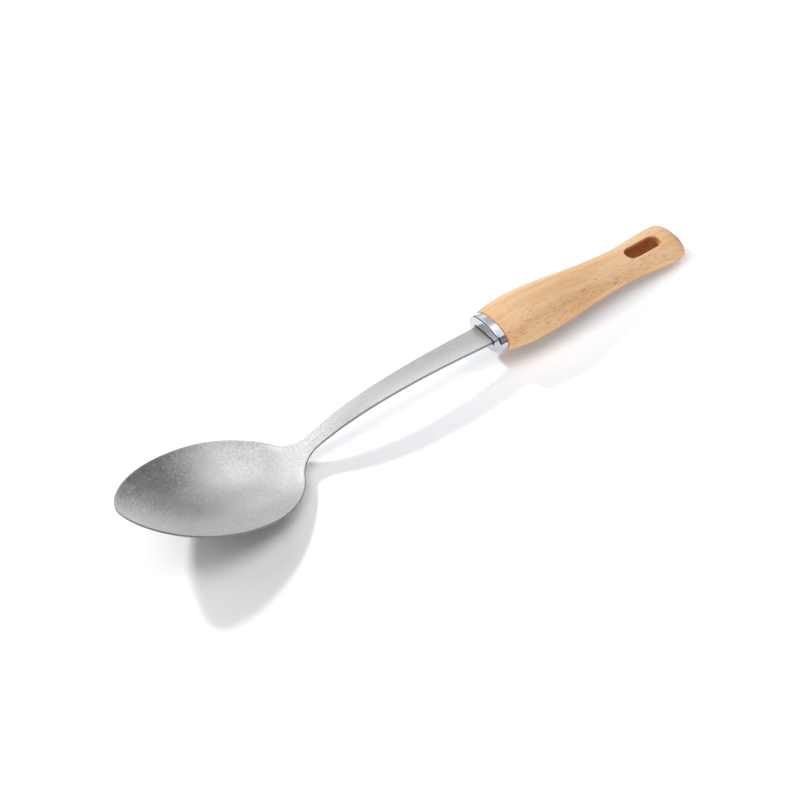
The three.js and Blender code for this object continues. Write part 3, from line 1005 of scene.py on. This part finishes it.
class LADLE_OT_blade(bpy.types.Operator):
    """Build the bowl, shank and tang in one sheet of tumbled steel"""

    bl_idname = "ladle.blade"
    bl_label = "Blade"

    def execute(self, context):
        colours = context.scene.ladle_colours
        shape = BladeShape(LadlePlan(context.scene))
        piece = smooth(loft("tumbled_blade", shape.rings(), shape.on_edge))
        for material in (tumbled_steel(colours), ground_and_shaded_steel(colours)):
            piece.data.materials.append(material)
        dress(piece, "spoon_blade")
        return {"FINISHED"}


class LADLE_OT_ferrule(bpy.types.Operator):
    """Build the polished oval cap with its slot for the shank"""

    bl_idname = "ladle.ferrule"
    bl_label = "Ferrule"

    def execute(self, context):
        plan = LadlePlan(context.scene)
        piece = carve(loft("polished_ferrule", ferrule_rings(plan)), *ferrule_cutters(plan))
        piece.data.transform(plan.grip)
        smooth(piece)
        # Carving can leave an empty slot before the steel's
        piece.data.materials.clear()
        piece.data.materials.append(polished_steel(context.scene.ladle_colours, plan))
        dress(piece, "ferrule")
        return {"FINISHED"}


class LADLE_OT_handle(bpy.types.Operator):
    """Build the beech grip with its hanging slot"""

    bl_idname = "ladle.handle"
    bl_label = "Handle"

    def execute(self, context):
        plan = LadlePlan(context.scene)
        colours = context.scene.ladle_colours
        shape = HandleShape(plan)
        # The slot's walls and the shoulder take the darker cut wood, which is partly painted shade
        cut = cut_and_shaded_beech(colours, plan)
        piece = loft("oiled_handle", shape.rings(), shape.at_shoulder)
        for material in (oiled_beech(colours, plan), cut):
            piece.data.materials.append(material)
        cutters = [shape.slot_cutter(), shape.mortise_cutter()]
        for cutter in cutters:
            cutter.data.materials.append(cut)
        carve(piece, *cutters)
        piece.data.transform(plan.grip)
        smooth(piece)
        dress(piece, "beech_handle")
        return {"FINISHED"}


class LADLE_OT_bond(bpy.types.Operator):
    """Give the resin round the tang its finish"""

    bl_idname = "ladle.bond"
    bl_label = "Resin"

    def execute(self, context):
        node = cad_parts["tang_bond"]
        node.data.materials.clear()
        node.data.materials.append(cured_resin(context.scene.ladle_colours))
        return {"FINISHED"}


class LADLE_OT_stage(bpy.types.Operator):
    """Set the white floor, the soft lights and the camera"""

    bl_idname = "ladle.stage"
    bl_label = "Studio"

    def execute(self, context):
        scene = context.scene
        scene.view_settings.view_transform = "Standard"
        self.add_floor(scene)
        self.add_camera(scene)
        self.add_lights(scene)
        return {"FINISHED"}

    def add_floor(self, scene):
        """Lay the sheet that the ladle lies on"""
        half = scene.ladle_stage.floor_half
        mesh = bpy.data.meshes.new("floor")
        corners = [(-half, -half, 0), (half, -half, 0), (half, half, 0), (-half, half, 0)]
        mesh.from_pydata(corners, [], [(0, 1, 2, 3)])
        mesh.materials.append(opal_acrylic(scene.ladle_colours, scene.ladle_stage))
        floor = bpy.data.objects.new("floor", mesh)
        scene.collection.objects.link(floor)

    def add_camera(self, scene):
        """Stand the camera at the ladle's right, above the bowl's side"""
        stage = scene.ladle_stage
        camera = bpy.data.objects.new("camera", bpy.data.cameras.new("camera"))
        camera.data.lens = stage.lens
        back = direction(stage.elevation, stage.azimuth - math.pi / 2)
        camera.location = Vector((stage.target_x, 0, stage.target_z)) + back * stage.distance
        camera.rotation_mode = "QUATERNION"
        camera.rotation_quaternion = back.to_track_quat("Z", "Y")
        scene.collection.objects.link(camera)
        scene.camera = camera

    def add_lights(self, scene):
        """Light the ladle from all round, with a small lamp and with the far soft lamps"""
        stage = scene.ladle_stage
        world = bpy.data.worlds.new("studio")
        world.use_nodes = True
        sky = world.node_tree.nodes["Background"]
        sky.inputs["Color"].default_value = (1, 1, 1, 1)
        sky.inputs["Strength"].default_value = stage.sky
        scene.world = world
        # The steel shows the small lamp weaker than floor and wood do, so it has a lamp of its own
        way = direction(stage.lamp_height, stage.lamp_turn)
        disk = {"shape": "DISK", "size": stage.lamp_width}
        small = {**disk, "energy": stage.lamp_power}
        glint = {**disk, "energy": stage.glint_power}
        self.add_lamp(scene, "small lamp", "AREA", way, small, True, False)
        self.add_lamp(scene, "glint", "AREA", way, glint, False, True)
        for name, (height, turn, width, strength, on_dull, on_metal) in FAR_LAMPS.items():
            way = direction(math.radians(height), math.radians(turn))
            soft = {"angle": math.radians(width), "energy": strength}
            self.add_lamp(scene, name, "SUN", way, soft, on_dull, on_metal)

    def add_lamp(self, scene, name, kind, way, settings, on_dull, on_metal):
        """A lamp that stands in the given direction and shines on the ladle"""
        lamp = bpy.data.objects.new(name, bpy.data.lights.new(name, kind))
        lamp.visible_diffuse = on_dull
        lamp.visible_glossy = on_metal
        for key, value in settings.items():
            setattr(lamp.data, key, value)
        lamp.location = way * scene.ladle_stage.lamp_distance
        lamp.rotation_mode = "QUATERNION"
        lamp.rotation_quaternion = way.to_track_quat("Z", "Y")
        scene.collection.objects.link(lamp)


class LADLE_PT_panel(bpy.types.Panel):
    """The ladle's pieces and sizes"""

    bl_idname = "LADLE_PT_panel"
    bl_label = "Sauce ladle"
    bl_space_type = "VIEW_3D"
    bl_region_type = "UI"
    bl_category = "Ladle"

    def draw(self, context):
        for operator in OPERATORS:
            self.layout.operator(operator.bl_idname)
        for name in GROUPS:
            group = getattr(context.scene, name)
            self.layout.label(text=group.bl_rna.description)
            for key in group.bl_rna.properties.keys():
                if key not in {"rna_type", "name"}:
                    self.layout.prop(group, key)


GROUPS = {
    "ladle_blade": BladeSizes,
    "ladle_ferrule": FerruleSizes,
    "ladle_handle": HandleSizes,
    "ladle_colours": LadleColours,
    "ladle_stage": StageSizes,
}
OPERATORS = (LADLE_OT_blade, LADLE_OT_ferrule, LADLE_OT_handle, LADLE_OT_bond, LADLE_OT_stage)


def register():
    """Make the sizes, colours, operators and panel known to Blender"""
    for kind in (*GROUPS.values(), *OPERATORS, LADLE_PT_panel):
        bpy.utils.register_class(kind)
    for name, group in GROUPS.items():
        setattr(bpy.types.Scene, name, PointerProperty(type=group))


def unregister():
    """Take them out again"""
    for name in GROUPS:
        delattr(bpy.types.Scene, name)
    for kind in reversed((*GROUPS.values(), *OPERATORS, LADLE_PT_panel)):
        bpy.utils.unregister_class(kind)


def main():
    """Build the ladle and its studio"""
    register()
    bpy.ops.ladle.blade()
    bpy.ops.ladle.ferrule()
    bpy.ops.ladle.handle()
    bpy.ops.ladle.bond()
    bpy.ops.ladle.stage()


if __name__ == "__main__":
    main()
